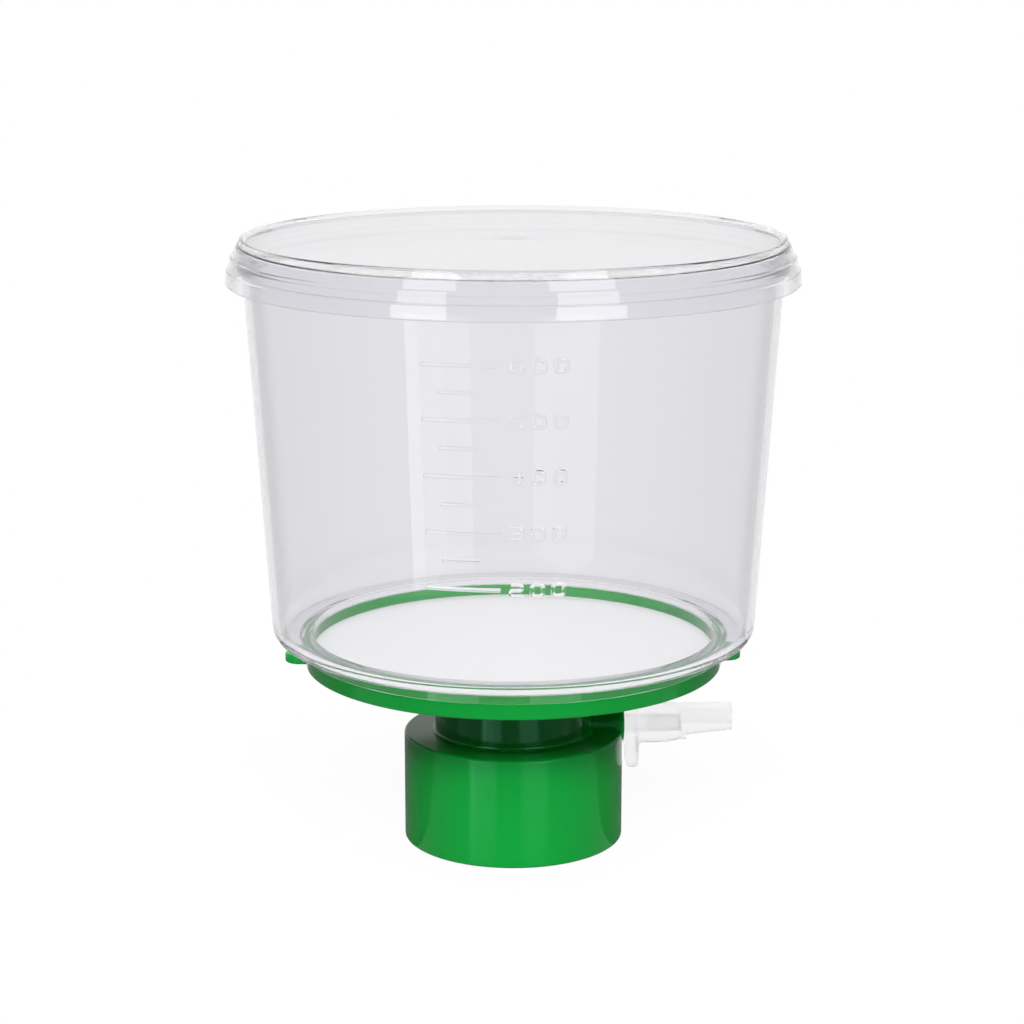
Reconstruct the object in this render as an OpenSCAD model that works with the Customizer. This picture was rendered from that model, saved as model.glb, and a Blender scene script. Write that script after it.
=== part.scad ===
// Bottle-top vacuum filtration unit.
// A clear graduated cup with a push-on lid stands on a green base that clamps a
// filter membrane, screws onto a bottle neck and takes a push-in hose adapter.
// The origin is at the centre of the collar's bottom face. Z runs up the axis.

/* [Bottle collar] */
// Diameter of the collar's bore, at the root of the bottle thread
bore_d = 45.5; // [40:0.5:60]
// Wall of the collar
collar_wall = 1.25; // [1:0.05:2.5]
// Height of the collar
collar_h = 24; // [18:0.5:32]
// Thickness of the collar's top plate
collar_top_t = 2; // [1.6:0.1:2.6]
// Radius of the collar's top and bottom outer edges
collar_edge_r = 0.9; // [0.4:0.1:1.2]
// Thickness of the sealing ring in the collar
gasket_t = 1.6; // [1:0.1:3]
// How much narrower the sealing ring's seat is than the bore, on the radius
gasket_ledge = 0.5; // [0.3:0.1:1]

/* [Neck and drip spout] */
// Outer diameter of the neck between collar and plate
neck_d = 34.4; // [28:0.2:40]
// Wall of the neck
neck_wall = 1.8; // [1.2:0.1:2.4]
// Height of the neck, from the collar's top to the flange's bottom
neck_h = 15.7; // [12:0.1:30]
// Bore of the drip spout
spout_bore_d = 7; // [4:0.5:10]
// Wall of the drip spout
spout_wall = 1.2; // [0.8:0.1:2]
// Depth of the drip spout's tip below the collar's top
spout_reach = 3; // [2:0.5:14]

/* [Membrane and its support] */
// Diameter of the filter membrane
membrane_d = 89; // [70:0.5:110]
// Thickness of the filter membrane
membrane_t = 0.15; // [0.1:0.05:0.4]
// Width of the membrane's edge that the cup clamps
clamp_w = 0.8; // [0.6:0.1:2]
// Height of the support ribs at the plate's edge
rib_h = 1.5; // [1:0.1:2.5]
// Width of a support rib
rib_w = 1; // [0.6:0.1:1.6]
// Number of support ribs, long and short ones in turn
rib_count = 24; // [12:2:36]
// Fall of the drain floor from its edge to the spout
drain_drop = 4; // [2:0.5:6]
// Thickness of the drain floor
plate_t = 1.8; // [1.2:0.1:2.4]

/* [Flange and ears] */
// Height of the flange
flange_h = 3.6; // [3.2:0.1:6]
// Draft of the flange's side, measured at its bottom edge
flange_draft = 0.6; // [0:0.1:1]
// How far the cup's skirt stands proud of the flange
skirt_overhang = 0.4; // [0:0.1:1]
// Height of the weld tongue above the flange
tongue_h = 2; // [1:0.1:3]
// Width of the weld tongue
tongue_w = 0.8; // [0.6:0.1:1.5]
// Reach of an ear beyond the flange
ear_reach = 4; // [2:0.5:8]
// Width of an ear
ear_w = 7; // [5:0.5:12]
// Thickness of an ear
ear_t = 2; // [1.5:0.1:3]

/* [Cup] */
// Height of the cup, from its floor's underside to its rim
cup_h = 84.7; // [60:0.1:120]
// Draft angle of the cup's wall
cup_draft = 3.64; // [1:0.02:5]
// Wall of the cup
cup_wall = 1.5; // [1:0.1:2.2]
// Thickness of the cup's floor
cup_floor_t = 1.2; // [1:0.1:2]
// Width of the cup's floor step, from the skirt to the line of the wall
cup_step_w = 6; // [5:0.1:9]
// Outer radius of the corner between floor and wall
cup_corner_r = 4.5; // [2.5:0.1:5]
// Width of the cup's skirt outside the weld tongue
skirt_w = 0.7; // [0.5:0.1:1.5]
// Clearance around the weld tongue
weld_gap = 0.1; // [0.05:0.05:0.2]
// Height of the skirt below the floor's underside
skirt_h = 2.9; // [2.6:0.1:5]
// Distance of the snap bead's top below the rim
bead_drop = 2.95; // [2:0.05:5]
// Height of the snap bead
bead_h = 1.95; // [1:0.05:2.5]
// How far the snap bead stands proud of the wall
bead_out = 0.8; // [0.4:0.1:1.2]

/* [Lid] */
// Thickness of the lid
lid_t = 1.2; // [0.8:0.1:1.8]
// Height of the rim that stands on the lid's panel
lid_rim_h = 0.9; // [0.4:0.1:2]
// Width of that rim's crest
lid_rim_w = 0.7; // [0.4:0.1:2]
// Depth of the lid's skirt below the panel's top
lid_skirt_h = 8.7; // [7:0.1:12]
// How far the skirt's lip flares out from the cup's rim
lid_flare = 3.33; // [2.8:0.01:5]
// Thickness of the skirt at its lip
lid_lip_t = 1; // [0.7:0.1:1.3]
// Diameter of the shallow gate dimple in the lid's centre
gate_d = 12; // [4:0.5:20]
// Depth of the gate dimple
gate_depth = 0.35; // [0.1:0.05:0.6]

/* [Vacuum port] */
// Height of the port's axis above the collar's top
port_rise = 1; // [0.9:0.1:4]
// Outer diameter of the port's boss
boss_d = 7.8; // [7.6:0.1:13]
// How far the boss stands proud of the collar
boss_proud = 0.3; // [0.2:0.1:3]
// Diameter of the socket for the adapter
socket_d = 5; // [4.6:0.1:5.4]
// Diameter of the vacuum passage into the neck
passage_d = 3.2; // [2:0.1:3.6]

/* [Hose adapter] */
// Clearance of the adapter's spigot in its socket, on the radius
spigot_gap = 0.05; // [0.02:0.01:0.1]
// Bore of the spigot and the barrel, which holds the air filter
adapter_bore_d = 3.4; // [3:0.1:3.8]
// Bore of the hose nose
nose_bore_d = 3; // [2:0.1:3.4]
// Thickness of the flange and of its thumb tab at the top
tab_t = 3.2; // [2:0.1:4]
// Width of the thumb tab
tab_w = 9; // [5:0.2:9.4]
// Thickness of the thumb tab at its round end
tab_end_t = 2.6; // [1.6:0.1:3]
// Reach of the thumb tab below the port's axis
tab_reach = 10; // [8:0.1:14]
// Diameter of the barrel
barrel_d = 8.8; // [7.8:0.1:10]
// Length of the barrel
barrel_l = 9.7; // [6:0.1:14]
// Diameter of the hose nose's cone at its root, inside the barrel
nose_root_d = 7.6; // [7:0.1:8]
// Diameter of the hose nose at its tip, where a 6 mm hose grips
nose_tip_d = 6.1; // [5:0.1:6.4]
// Length of the hose nose
nose_l = 10.9; // [8:0.1:20]
// Length of the straight stretch at the nose's tip
nose_land_l = 1.8; // [1.4:0.1:5]
// Length of the air filter plug
filter_l = 7; // [4:0.5:10]

/* [Hidden] */
$fn = 96;
nip = 0.01;

bore_r = bore_d / 2;
collar_r = bore_r + collar_wall;
neck_r = neck_d / 2;
neck_in_r = neck_r - neck_wall;
gasket_seat_r = bore_r - gasket_ledge;
collar_top_in = collar_h - collar_top_t;
gasket_z = collar_top_in - gasket_t;

// Levels, from the collar's bottom to the lid
flange_z = collar_h + neck_h;
seat_z = flange_z + flange_h;
membrane_drop = 0.3;
membrane_z = seat_z - membrane_drop;
cup_z = seat_z + skirt_h;
rim_z = cup_z + cup_h;
panel_z = rim_z + lid_t;

// Radii at the joint of base and cup, from the membrane outwards
membrane_r = membrane_d / 2;
lip_r = membrane_r - clamp_w;
tongue_in_r = membrane_r + 0.2;
tongue_r = tongue_in_r + tongue_w;
skirt_r = tongue_r + weld_gap + skirt_w;
flange_r = skirt_r - skirt_overhang;

// Drain floor under the membrane
floor_edge_r = lip_r - 0.7;
floor_edge_z = membrane_z - membrane_t - rib_h;
spout_in_r = spout_bore_d / 2;
spout_r = spout_in_r + spout_wall;
spout_top_z = floor_edge_z - drain_drop;
drain_slope = drain_drop / (floor_edge_r - spout_in_r);
function floor_top(r) = floor_edge_z - (floor_edge_r - r) * drain_slope;
function floor_under(r) = floor_top(r) - plate_t;

// Cup
cup_r = skirt_r + cup_step_w;
function cup_out(z) = cup_r + (z - cup_z) * tan(cup_draft);
function cup_in(z) = cup_out(z) - cup_wall / cos(cup_draft);
rim_r = cup_out(rim_z);
bead_z = rim_z - bead_drop;

// Lid, seated on the cup's rim
lip_z = panel_z - lid_skirt_h;
lid_r = rim_r + lid_flare;
panel_r = rim_r - 1.27;
crest_r = panel_r + 0.6;

// Port and adapter, along +X. The nose lies higher than the barrel, with its top level with the barrel's
port_z = collar_h + port_rise;
boss_x = collar_r + boss_proud;
socket_x = neck_r + 0.3;
spigot_x = socket_x + 0.3;
spigot_r = socket_d / 2 - spigot_gap;
tab_x = boss_x + tab_t;
barrel_x = tab_x + barrel_l;
tip_x = barrel_x + nose_l;
filter_x = barrel_x - 0.4;
land_x = tip_x - nose_land_l;
nose_z = port_z + (barrel_d - nose_tip_d) / 2 - 0.05;
nose_back = 3.8;

// Points of an arc round a centre, from one angle to another
function arc(cx, cy, r, from, to, steps = 8) =
    [for (i = [0 : steps]) let (a = from + (to - from) * i / steps) [cx + r * cos(a), cy + r * sin(a)]];

// A cylinder along +X from one place to another, at the port's height
module along_port(from, to, d1, d2, z = port_z) {
    translate([from, 0, z])
        rotate([0, 90, 0])
            cylinder(h = to - from, d1 = d1, d2 = d2);
}

// Spins an outline of radius and place along +X about the port's axis, or about the nose's
module turned_along_port(z) {
    translate([0, 0, z])
        rotate([0, 90, 0])
            rotate_extrude()
                children();
}

// Collar, neck, plate, flange, weld tongue and spout, as one turned section
module base_section() {
    e = collar_edge_r;
    fillet = 0.8;
    polygon(concat(
        [[spout_in_r, collar_h - spout_reach], [spout_r, collar_h - spout_reach]],
        [[spout_r, floor_under(spout_r)], [neck_in_r, floor_under(neck_in_r)]],
        [[neck_in_r, collar_top_in], [gasket_seat_r, collar_top_in]],
        [[gasket_seat_r, gasket_z], [bore_r, gasket_z], [bore_r, 0]],
        arc(collar_r - e / 2, e / 2, e / 2, -90, 0),
        arc(collar_r - e, collar_h - e, e, 0, 90),
        arc(neck_r + fillet, collar_h + fillet, fillet, 270, 180),
        [[neck_r, floor_under(neck_r)], [floor_edge_r, flange_z]],
        [[flange_r - flange_draft, flange_z], [flange_r, seat_z]],
        [[tongue_r, seat_z], [tongue_r, seat_z + tongue_h]],
        [[tongue_in_r, seat_z + tongue_h], [tongue_in_r, membrane_z - membrane_t]],
        [[floor_edge_r, membrane_z - membrane_t], [floor_edge_r, floor_edge_z]],
        [[spout_in_r, spout_top_z]]));
}

// Radial ribs that carry the membrane over the drain floor
module support_ribs() {
    top = membrane_z - membrane_t;
    intersection() {
        for (i = [0 : rib_count - 1])
            rotate(i * 360 / rib_count)
                translate([i % 2 == 0 ? spout_in_r + 2.5 : lip_r * 0.45, -rib_w / 2, floor_under(0) + plate_t / 2])
                    cube([lip_r, rib_w, top - floor_under(0) - plate_t / 2]);
        rotate_extrude()
            polygon([
                [spout_r, floor_top(spout_r) - plate_t / 2], [floor_edge_r + nip, floor_edge_z - plate_t / 2],
                [floor_edge_r + nip, top], [spout_r, top]]);
    }
}

// Two ears that stand out from the flange
module ears() {
    for (side = [0, 180])
        rotate(side)
            translate([0, 0, flange_z + 0.2])
                linear_extrude(ear_t) {
                    translate([flange_r - 2, -ear_w / 2])
                        square([ear_reach + 2 - ear_w / 2, ear_w]);
                    translate([flange_r + ear_reach - ear_w / 2, 0])
                        circle(d = ear_w);
                }
}

// Boss for the vacuum port, kept clear of the bottle's mouth and the neck's inside
module port_boss() {
    difference() {
        along_port(neck_in_r, boss_x, boss_d, boss_d);
        translate([0, 0, -1])
            cylinder(h = collar_top_in + 1, r = bore_r);
        cylinder(h = flange_z, r = neck_in_r + neck_wall / 2);
    }
}

module base() {
    color([0.09, 0.63, 0.23])
        difference() {
            union() {
                rotate_extrude()
                    base_section();
                support_ribs();
                ears();
                port_boss();
            }
            along_port(socket_x, boss_x + 1, socket_d, socket_d);
            along_port(neck_in_r - 1, boss_x, passage_d, passage_d);
        }
}

module neck_gasket() {
    color([0.93, 0.93, 0.91])
        translate([0, 0, gasket_z])
            rotate_extrude()
                translate([neck_in_r + 0.8, 0])
                    square([gasket_seat_r - 0.05 - neck_in_r - 0.8, gasket_t]);
}

module membrane() {
    color([0.96, 0.96, 0.95])
        translate([0, 0, membrane_z - membrane_t])
            cylinder(h = membrane_t, r = membrane_r);
}

// Cup wall, floor, clamping lip, weld groove, skirt and snap bead, as one turned section
module funnel_section() {
    corner_z = cup_z + cup_corner_r;
    corner_x = cup_out(corner_z) - cup_corner_r / cos(cup_draft);
    in_r = max(cup_corner_r - cup_wall, 0.6);
    in_z = cup_z + cup_floor_t + in_r;
    in_x = cup_in(in_z) - in_r / cos(cup_draft);
    groove_top = seat_z + tongue_h + weld_gap;
    polygon(concat(
        [[lip_r, membrane_z], [tongue_in_r - weld_gap, membrane_z]],
        [[tongue_in_r - weld_gap, groove_top], [tongue_r + weld_gap, groove_top]],
        [[tongue_r + weld_gap, seat_z], [skirt_r, seat_z], [skirt_r, cup_z]],
        arc(corner_x, corner_z, cup_corner_r, -90, -cup_draft),
        [[cup_out(bead_z - bead_h), bead_z - bead_h], [cup_out(bead_z) + bead_out, bead_z - bead_h + 0.4]],
        [[cup_out(bead_z) + bead_out, bead_z - 0.3], [cup_out(bead_z) + bead_out - 0.3, bead_z]],
        [[cup_out(bead_z), bead_z], [rim_r, rim_z - 0.3], [rim_r - 0.3, rim_z]],
        [[cup_in(rim_z) + 0.3, rim_z], [cup_in(rim_z), rim_z - 0.3]],
        arc(in_x, in_z, in_r, -cup_draft, -90),
        [[lip_r + 0.3, cup_z + cup_floor_t], [lip_r, cup_z + cup_floor_t - 0.3]]));
}

module funnel() {
    color([0.85, 0.85, 0.9, 0.35])
        rotate_extrude()
            funnel_section();
}

// Panel with a low rim, sloping shoulder and a two-step skirt, as one turned section
module lid_section() {
    shoulder_z = panel_z - 3;
    band_z = panel_z - 5.7;
    polygon([
        [0, panel_z], [panel_r, panel_z], [crest_r, panel_z + lid_rim_h],
        [crest_r + lid_rim_w, panel_z + lid_rim_h], [rim_r + 0.93, panel_z - 0.7],
        [lid_r - 1.5, shoulder_z + 0.1], [lid_r - 1.2, shoulder_z], [lid_r - 0.55, band_z + 0.1],
        [lid_r - 0.3, band_z], [lid_r, lip_z + 0.3], [lid_r - 0.3, lip_z],
        [lid_r - lid_lip_t, lip_z], [lid_r - lid_lip_t - 0.5, band_z],
        [lid_r - lid_lip_t - 1.2, shoulder_z - 0.3], [rim_r + 0.3, rim_z], [0, rim_z]]);
}

module lid() {
    dimple_r = (gate_d * gate_d / 4 + gate_depth * gate_depth) / (2 * gate_depth);
    color([0.88, 0.88, 0.92, 0.35])
        difference() {
            rotate_extrude()
                lid_section();
            translate([0, 0, panel_z - gate_depth + dimple_r])
                sphere(r = dimple_r);
        }
}

// Thumb tab that hangs from the adapter's flange, thinner towards its round lower end
module thumb_tab() {
    end_r = tab_end_t / 2;
    end_x = tab_x - end_r;
    intersection() {
        translate([0, tab_w / 2, port_z])
            rotate([90, 0, 0])
                linear_extrude(tab_w) {
                    polygon([
                        [boss_x, 0], [tab_x, 0], [tab_x, end_r - tab_reach],
                        [end_x - end_r, end_r - tab_reach], [boss_x, -boss_d / 2]]);
                    translate([end_x, end_r - tab_reach])
                        circle(r = end_r);
                }
        translate([boss_x - 1, 0, port_z])
            rotate([90, 0, 90])
                linear_extrude(tab_t + 2) {
                    translate([-tab_w / 2, tab_w / 2 - tab_reach])
                        square([tab_w, tab_reach]);
                    translate([0, tab_w / 2 - tab_reach])
                        circle(d = tab_w);
                }
    }
}

// Thin web that braces the thumb tab against the barrel
module tab_web() {
    web_t = 1.6;
    translate([0, web_t / 2, port_z])
        rotate([90, 0, 0])
            linear_extrude(web_t)
                polygon([
                    [boss_x + tab_t / 2, -barrel_d / 4], [tab_x + 1.4, -barrel_d / 4],
                    [tab_x + 1.4, -barrel_d / 2 - 0.6], [boss_x + tab_t / 2, 2 - tab_reach]]);
}

// Cone of the nose, leaned so that its top runs level, and cut square where the straight stretch begins
module nose_cone() {
    end_d = nose_tip_d + 0.15;
    long = land_x - barrel_x + nose_back;
    lean = atan((nose_root_d - end_d) / 2 / long);
    intersection() {
        translate([barrel_x - nose_back, 0, port_z + (barrel_d - nose_root_d) / 2])
            rotate([0, 90 - lean, 0])
                cylinder(h = long + 0.5, d1 = nose_root_d, d2 = end_d - (nose_root_d - end_d) * 0.5 / long);
        translate([barrel_x - nose_back - 1, -barrel_d, port_z - barrel_d])
            cube([long + 1, 2 * barrel_d, 2 * barrel_d]);
    }
}

// Small stop under the nose's root
module nose_stop() {
    translate([barrel_x - 0.4, -0.8, port_z - barrel_d / 2 + 0.6])
        cube([1.4, 1.6, 2]);
}

module hose_adapter() {
    tip_edge = 0.3;
    tip_r = nose_tip_d / 2;
    barrel_r = barrel_d / 2;
    color([0.93, 0.93, 0.94])
        difference() {
            union() {
                turned_along_port(port_z)
                    polygon([
                        [0, spigot_x], [spigot_r, spigot_x], [spigot_r, boss_x],
                        [barrel_r + 0.4, boss_x], [barrel_r + 0.4, tab_x], [barrel_r, tab_x],
                        [barrel_r, barrel_x - 4], [barrel_r - 0.5, barrel_x - 1],
                        [barrel_r - 1, barrel_x], [0, barrel_x]]);
                nose_cone();
                turned_along_port(nose_z)
                    polygon([
                        [0, land_x - nip], [tip_r, land_x - nip], [tip_r, tip_x - tip_edge],
                        [tip_r - tip_edge, tip_x], [0, tip_x]]);
                nose_stop();
                thumb_tab();
                tab_web();
            }
            along_port(spigot_x - 1, filter_x, adapter_bore_d, adapter_bore_d);
            along_port(filter_x - nip, tip_x + 1, nose_bore_d, nose_bore_d, nose_z);
        }
}

module air_filter() {
    color([0.95, 0.95, 0.92])
        along_port(filter_x - filter_l, filter_x, adapter_bore_d - 0.06, adapter_bore_d - 0.06);
}

base();
neck_gasket();
membrane();
funnel();
lid();
hose_adapter();
air_filter();
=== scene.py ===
import math

import bpy
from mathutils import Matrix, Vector


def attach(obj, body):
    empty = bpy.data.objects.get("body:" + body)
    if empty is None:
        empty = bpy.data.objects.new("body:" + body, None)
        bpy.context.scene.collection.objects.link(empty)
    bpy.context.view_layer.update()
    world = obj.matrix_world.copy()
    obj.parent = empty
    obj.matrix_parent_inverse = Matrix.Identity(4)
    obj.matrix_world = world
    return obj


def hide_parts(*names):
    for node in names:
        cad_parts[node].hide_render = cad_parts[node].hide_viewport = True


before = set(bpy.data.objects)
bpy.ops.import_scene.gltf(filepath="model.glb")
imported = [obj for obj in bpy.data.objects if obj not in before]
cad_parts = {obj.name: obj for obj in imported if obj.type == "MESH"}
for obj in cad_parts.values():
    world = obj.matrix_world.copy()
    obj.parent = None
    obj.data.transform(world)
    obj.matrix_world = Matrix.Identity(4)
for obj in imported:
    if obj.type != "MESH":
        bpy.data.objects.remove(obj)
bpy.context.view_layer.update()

MM = 0.001
MERGE = 0.001 * MM
ROUND = 288

# Main sizes of the unit, in mm: R is a radius, Z a height, and X a place along the port
BORE_R = 22.75  # root of the bottle thread
COLLAR_R = 24.0
NECK_IN_R = 15.4
NECK_R = 17.2
LEDGE_Z = 20.4  # where the bore ends and the seal's seat begins
SEAL_TOP_Z = 22.0
PORT_Z = 25.0
NOSE_Z = 26.3
PORT_FACE_X = 24.3  # the boss's face, where the adapter's flange seats
TAB_BACK_X = 27.5
PLUG_END_X = 36.8
FLOOR_EDGE_R = 43.0  # the drain floor's edge
FLOOR_EDGE_Z = 41.35
FLOOR_FALL = 0.10127  # how far the drain floor falls in each mm towards the spout
PLATE_THICKNESS = 1.8
MEMBRANE_R = 44.5
MEMBRANE_FOOT_Z = 42.85
MEMBRANE_TOP_Z = 43.0
LIP_R = 43.7  # the hole in the cup's clamping lip
SEAT_Z = 43.3  # the flange's top, where the cup stands
CUP_FOOT_R = 52.3
CUP_FOOT_Z = 46.2
CUP_FLOOR_Z = 47.4
CUP_RIM_Z = 130.9
CUP_WALL = 1.503
WALL_DRAFT = math.radians(3.64)

# The studio, in degrees and m
CAMERA_TURN = -1.8
CAMERA_RISE = 12.755
CAMERA_FAR = 0.5773
STUDIO_MIDDLE = Vector((0, 0, 0.07))


# Workshop habits: picking, placing, cutting and joining pieces


def deselect():
    """Leaves edit mode and lets go of every object."""
    if bpy.context.mode != "OBJECT":
        bpy.ops.object.mode_set(mode="OBJECT")
    bpy.ops.object.select_all(action="DESELECT")


def pick(*pieces):
    """Picks just these objects, the first one as the active one."""
    deselect()
    for piece in pieces:
        piece.select_set(True)
    bpy.context.view_layer.objects.active = pieces[0]


def settle(piece):
    """Puts the object's place, turn and size into its mesh."""
    pick(piece)
    bpy.ops.object.transform_apply(location=True, rotation=True, scale=True)
    return piece


def named(name):
    """Names the piece that was just added."""
    piece = bpy.context.object
    piece.name = name
    piece.data.name = name
    return piece


def select_parts(piece, kind, test):
    """Opens the piece for editing with only the corners or edges selected that pass the test.

    The test is given a corner's place, or an edge's two ends, in mm."""
    pick(piece)
    bpy.ops.object.mode_set(mode="EDIT")
    bpy.ops.mesh.select_mode(type=kind)
    bpy.ops.mesh.select_all(action="DESELECT")
    bpy.ops.object.mode_set(mode="OBJECT")
    mesh = piece.data
    if kind == "VERT":
        for corner in mesh.vertices:
            corner.select = bool(test(corner.co / MM))
    else:
        for edge in mesh.edges:
            start, end = (mesh.vertices[i].co / MM for i in edge.vertices)
            edge.select = bool(test(start, end))
    bpy.ops.object.mode_set(mode="EDIT")


def shift_corners(piece, way, test):
    """Moves the corners that pass the test along a way in mm."""
    select_parts(piece, "VERT", test)
    bpy.ops.transform.translate(value=Vector(way) * MM)
    bpy.ops.object.mode_set(mode="OBJECT")


def round_corner(piece, spot, cut, segments):
    """Rounds the corner of an outline that lies at a spot in mm."""
    near = 0.002
    select_parts(piece, "VERT", lambda v: (v - spot).length < near)
    bpy.ops.mesh.bevel(offset=cut, segments=segments, affect="VERTICES")
    bpy.ops.object.mode_set(mode="OBJECT")


def close_up(piece):
    """Merges doubles and turns every face outwards."""
    pick(piece)
    bpy.ops.object.mode_set(mode="EDIT")
    bpy.ops.mesh.select_mode(type="VERT")
    bpy.ops.mesh.select_all(action="SELECT")
    bpy.ops.mesh.remove_doubles(threshold=MERGE)
    bpy.ops.mesh.normals_make_consistent(inside=False)
    bpy.ops.object.mode_set(mode="OBJECT")
    return piece


def smooth(piece):
    """Smooth shading with sharp edges kept, and large faces shaded flat up to their rounded edges."""
    pick(piece)
    bpy.ops.object.shade_smooth_by_angle(angle=math.radians(28))
    even = piece.modifiers.new("even shading", "WEIGHTED_NORMAL")
    even.keep_sharp = True
    even.weight = 50
    bpy.ops.object.modifier_apply(modifier=even.name)


def combine(piece, tool, how):
    """Joins the tool to the piece, or cuts it away, and takes the tool off the bench."""
    cut = piece.modifiers.new("combine", "BOOLEAN")
    cut.operation = how
    cut.solver = "EXACT"
    cut.object = tool
    pick(piece)
    bpy.ops.object.modifier_apply(modifier=cut.name)
    bpy.data.objects.remove(tool)


def round_edges(piece, width, segments):
    """Rounds the edges where the faces turn by more than 35 degrees."""
    bevel = piece.modifiers.new("round edges", "BEVEL")
    bevel.width = width * MM
    bevel.segments = segments
    bevel.limit_method = "ANGLE"
    bevel.angle_limit = math.radians(35)
    bevel.use_clamp_overlap = True
    pick(piece)
    bpy.ops.object.modifier_apply(modifier=bevel.name)
    return piece


def duplicate(piece, turn=0.0):
    """A copy with a mesh of its own, turned about the upright axis."""
    pick(piece)
    bpy.ops.object.duplicate(linked=False)
    copy = bpy.context.object
    if turn:
        copy.rotation_euler.z = math.radians(turn)
        settle(copy)
    return copy


def join(pieces):
    """Makes one object of several that don't touch each other."""
    pick(*pieces)
    bpy.ops.object.join()
    return pieces[0]


# Turned pieces: an outline is drawn, its corners are rounded, and it is spun


def draw_outline(name, outline, closed, lie_along_x):
    """Extrudes one corner along an outline of (radius, height) or (radius, height, corner radius) in mm.

    Along x, the height runs along the port and the radius stands off its middle."""

    def place(point):
        radius, height = point[0] * MM, point[1] * MM
        if lie_along_x:
            return Vector((height, 0, PORT_Z * MM + radius))
        return Vector((radius, 0, height))

    spots = [place(p) for p in outline]
    path = spots + spots[:1] if closed else spots
    deselect()
    bpy.ops.mesh.primitive_plane_add(size=MM, location=spots[0])
    piece = named(name)
    bpy.ops.object.mode_set(mode="EDIT")
    bpy.ops.mesh.select_all(action="SELECT")
    bpy.ops.mesh.merge(type="CENTER")
    for here, there in zip(path, path[1:]):
        bpy.ops.mesh.extrude_region_move(TRANSFORM_OT_translate={"value": there - here})
    bpy.ops.mesh.select_all(action="SELECT")
    bpy.ops.mesh.remove_doubles(threshold=MERGE)
    bpy.ops.object.mode_set(mode="OBJECT")
    settle(piece)
    count = len(spots)
    most = 0.48
    for i, point in enumerate(outline):
        if len(point) < 3 or (not closed and i in (0, count - 1)):
            continue
        back = spots[i - 1] - spots[i]
        on = spots[(i + 1) % count] - spots[i]
        turn = math.pi - back.angle(on)
        cut = min(point[2] * MM * math.tan(turn / 2), most * back.length, most * on.length)
        round_corner(piece, spots[i] / MM, cut, segments=4 if point[2] < 1 else 8)
    return piece


def turned(name, outline, closed=True, lie_along_x=False, steps=ROUND, sweep=360.0):
    """Spins an outline about the upright axis, or about the port's axis."""
    piece = draw_outline(name, outline, closed, lie_along_x)
    pick(piece)
    bpy.ops.object.mode_set(mode="EDIT")
    bpy.ops.mesh.select_all(action="SELECT")
    centre = (0, 0, PORT_Z * MM) if lie_along_x else (0, 0, 0)
    axis = (1, 0, 0) if lie_along_x else (0, 0, 1)
    bpy.ops.mesh.spin(steps=steps, angle=math.radians(sweep), center=centre, axis=axis)
    if sweep < 360:
        bpy.ops.mesh.select_all(action="SELECT")
        bpy.ops.mesh.fill_holes(sides=0)
    bpy.ops.object.mode_set(mode="OBJECT")
    return close_up(piece)


def rod(name, radius, start, end, z=PORT_Z, corners=64):
    """A plain round rod along the port, to cut or join with."""
    deselect()
    bpy.ops.mesh.primitive_cylinder_add(
        vertices=corners, radius=radius * MM, depth=(end - start) * MM,
        location=((start + end) / 2 * MM, 0, z * MM), rotation=(0, math.pi / 2, 0),
    )
    return settle(named(name))


def block(name, low, high):
    """A rectangular block between two corners in mm."""
    deselect()
    low, high = Vector(low) * MM, Vector(high) * MM
    bpy.ops.mesh.primitive_cube_add(size=1, location=(low + high) / 2, scale=high - low)
    return settle(named(name))


# The base: collar, neck, drain floor, flange, weld tongue, ears and vacuum port


def drain_z(radius):
    """Height of the drain floor, which falls towards the spout."""
    return FLOOR_EDGE_Z - (FLOOR_EDGE_R - radius) * FLOOR_FALL


def floor_under(radius):
    """Height of the drain floor's underside."""
    return drain_z(radius) - PLATE_THICKNESS


def support_rib(inner):
    """One rib along +X, from its inner end out to the drain floor's edge."""
    half_width, sunk, rooted = 0.5, 0.9, 0.4
    foot = drain_z(FLOOR_EDGE_R) - sunk
    rib = block("rib", (inner, -half_width, foot), (FLOOR_EDGE_R + rooted, half_width, MEMBRANE_FOOT_Z))
    drop = drain_z(inner) - drain_z(FLOOR_EDGE_R)
    shift_corners(rib, (0, 0, drop), lambda v: v.x < inner + 1 and v.z < MEMBRANE_FOOT_Z - sunk)
    return round_edges(rib, 0.2, 2)


def support_ribs():
    """Radial ribs that carry the membrane, long and short in turn."""
    count, ribs = 12, []
    between = 360.0 / count
    for inner, first in ((6.0, 0.0), (19.67, between / 2)):
        rib = support_rib(inner)
        ribs += [rib] + [duplicate(rib, first + step * between) for step in range(1, count)]
        if first:
            rib.rotation_euler.z = math.radians(first)
            settle(rib)
    return join(ribs)


def flange_ears():
    """Two round-ended ears on the flange."""
    radius, thickness, reach, height, rooted = 3.5, 2.0, 46.4, 40.9, 3.0
    deselect()
    bpy.ops.mesh.primitive_cylinder_add(
        vertices=64, radius=radius * MM, depth=thickness * MM, location=(reach * MM, 0, height * MM)
    )
    ear = settle(named("ear"))
    shift_corners(ear, (-rooted, 0, 0), lambda v: v.x < reach)
    round_edges(ear, 0.35, 4)
    return join([ear, duplicate(ear, 180.0)])


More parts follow.
